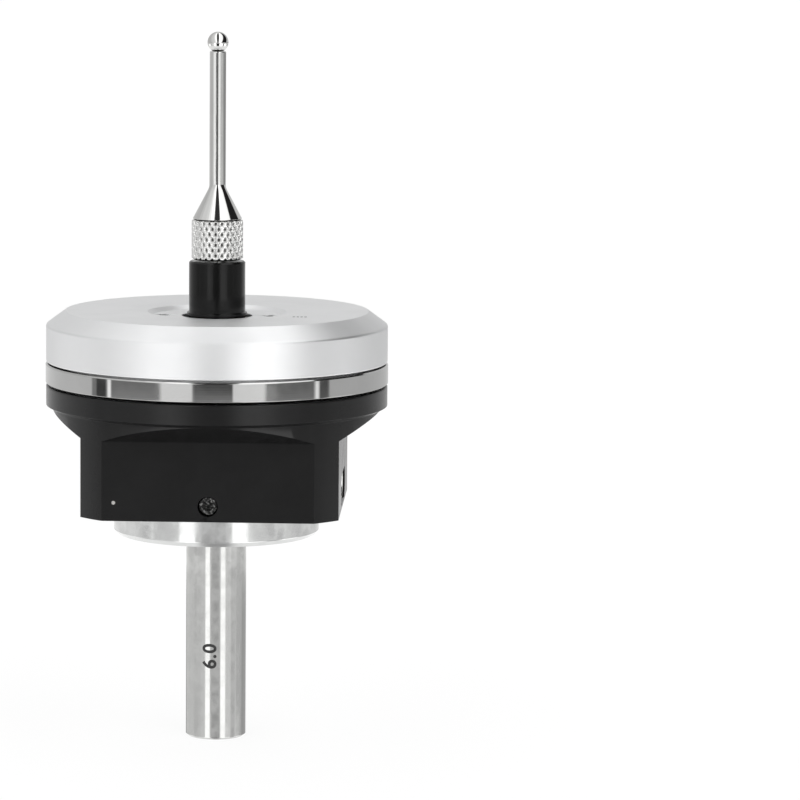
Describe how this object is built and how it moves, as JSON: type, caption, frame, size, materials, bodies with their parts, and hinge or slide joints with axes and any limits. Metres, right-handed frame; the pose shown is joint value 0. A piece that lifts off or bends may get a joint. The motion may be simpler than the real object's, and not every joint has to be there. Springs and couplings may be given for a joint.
{
  "type": "touch probe",
  "caption": "Three-axis touch probe: plain shank and flange under a round body squared below, steel ring, dished cap, black sleeve, knurled stylus with a ball tip.",
  "frame": {"origin": "centre of the shank's end face", "axes": "+Z along the shank up to the stylus tip, +X out through the lead's socket, -Y to the front"},
  "size_m": [0.034, 0.034, 0.0705],
  "materials": {
    "shank": "ground",
    "flange": "turned",
    "body": "satin black",
    "ring": "polished",
    "cap": "fine satin",
    "sleeve": "gloss black",
    "stylus": "polished",
    "screw": "blackened",
    "board_screw": "bright",
    "washer": "satin",
    "socket_shell": "bright",
    "socket_tongue": "matt",
    "board": "lacquered",
    "chip": "matt",
    "lead": "satin",
    "carrier": "turned",
    "spring": "drawn wire",
    "spider": "machined",
    "seat_ring": "moulded",
    "ball_steel": "polished"
  },
  "bodies": {
    "housing": {"shank": "shank", "mounting_flange": "flange", "body_shell": "body", "spacer_ring": "ring", "cap": "cap", "grub_screw_front": "screw", "grub_screw_left": "screw", "grub_screw_back": "screw", "case_screw_1": "screw", "case_screw_2": "screw", "case_screw_3": "screw", "case_screw_4": "screw", "seat_screw_1": "screw", "seat_screw_2": "screw", "seat_screw_3": "screw", "seat_screw_4": "screw", "retaining_screw": "screw", "board_screw_1": "board_screw", "board_screw_2": "board_screw", "retaining_washer": "washer", "usb_shell": "socket_shell", "usb_tongue": "socket_tongue", "main_board": "board", "driver_chip": "chip", "lead_wire_1": "lead", "lead_wire_2": "lead", "carrier_plate": "carrier", "seat_ring": "seat_ring", "seat_roller_1a": "ball_steel", "seat_roller_1b": "ball_steel", "seat_roller_2a": "ball_steel", "seat_roller_2b": "ball_steel", "seat_roller_3a": "ball_steel", "seat_roller_3b": "ball_steel"},
    "plunge_frame": {"return_spring": "spring"},
    "tilt_frame_1": {"contact_ball_1": "ball_steel"},
    "tilt_frame_2": {"contact_ball_2": "ball_steel"},
    "stylus_assembly": {"contact_ball_3": "ball_steel", "spider": "spider", "hub_screw": "screw", "sleeve": "sleeve", "stylus": "stylus", "stylus_ball": "stylus"}
  },
  "joints": [
    {"name": "stylus_plunge", "type": "slide", "parent": "housing", "child": "plunge_frame", "axis": [0, 0, -1], "range_m": [0, 0.002], "stiffness_N_per_m": 500, "springref_m": -0.004, "deforming": ["return_spring"]},
    {"name": "stylus_tilt_1", "type": "hinge", "parent": "plunge_frame", "child": "tilt_frame_1", "pos_m": [0, -0.0045, 0.0379], "axis": [-1, 0, 0], "range_deg": [0, 5], "stiffness_Nm_per_rad": 0.09, "springref_deg": -5.73},
    {"name": "stylus_tilt_2", "type": "hinge", "parent": "tilt_frame_1", "child": "tilt_frame_2", "pos_m": [0.0039, 0.00225, 0.0379], "axis": [0.5, -0.866, 0], "range_deg": [0, 5], "stiffness_Nm_per_rad": 0.09, "springref_deg": -5.73},
    {"name": "stylus_tilt_3", "type": "hinge", "parent": "tilt_frame_2", "child": "stylus_assembly", "pos_m": [-0.0039, 0.00225, 0.0379], "axis": [0.5, 0.866, 0], "range_deg": [0, 5], "stiffness_Nm_per_rad": 0.09, "springref_deg": -5.73}
  ]
}
